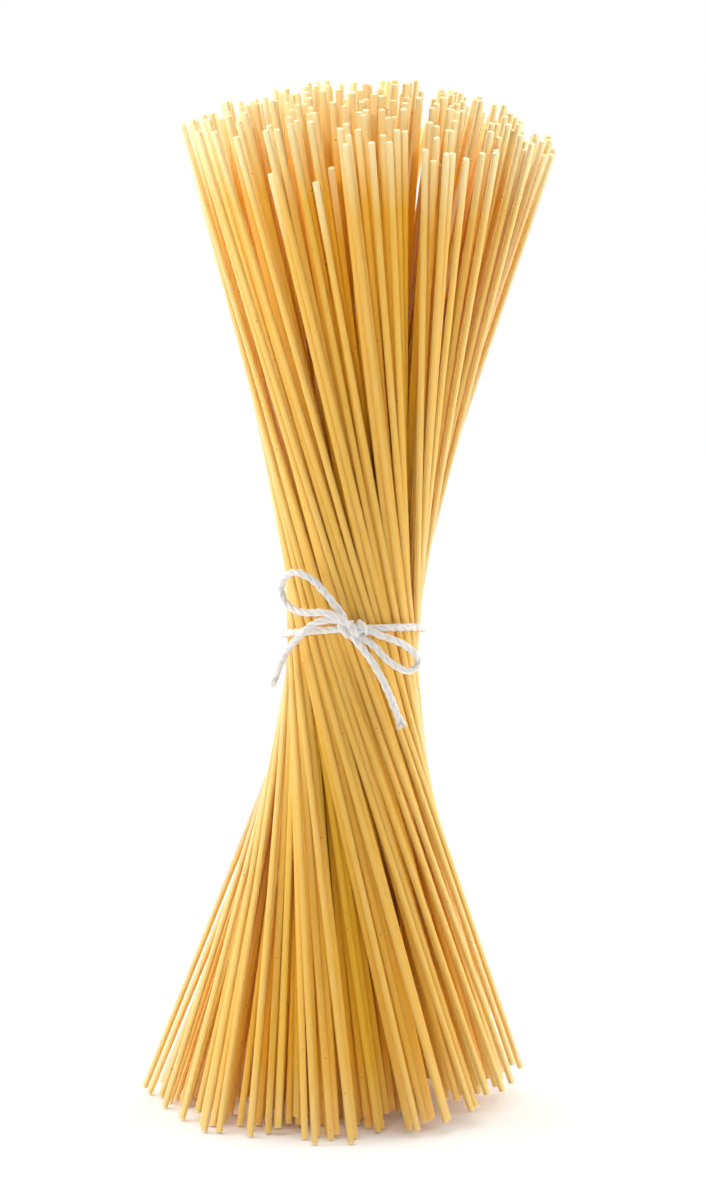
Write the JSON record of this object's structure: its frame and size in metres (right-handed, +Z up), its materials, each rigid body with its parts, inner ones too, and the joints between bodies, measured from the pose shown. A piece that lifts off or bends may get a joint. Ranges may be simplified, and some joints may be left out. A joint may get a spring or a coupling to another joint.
{
  "type": "bundle of dry spaghetti",
  "caption": "Dry spaghetti noodles twisted into an hourglass bundle that stands on end, tied round its waist with white cotton twine in a bow.",
  "frame": {"origin": "middle of the base, on the surface that the bundle stands on", "axes": "+Z up along the noodles, +X to the right of a viewer who faces the bow, -Y towards that viewer"},
  "size_m": [0.102, 0.095, 0.252],
  "materials": {
    "spaghetti": "satin dry durum wheat pasta, slightly translucent",
    "twine": "twisted white cotton"
  },
  "bodies": {
    "root": {"spaghetti_bundle": "spaghetti", "twine_tie": "twine"}
  },
  "joints": []
}
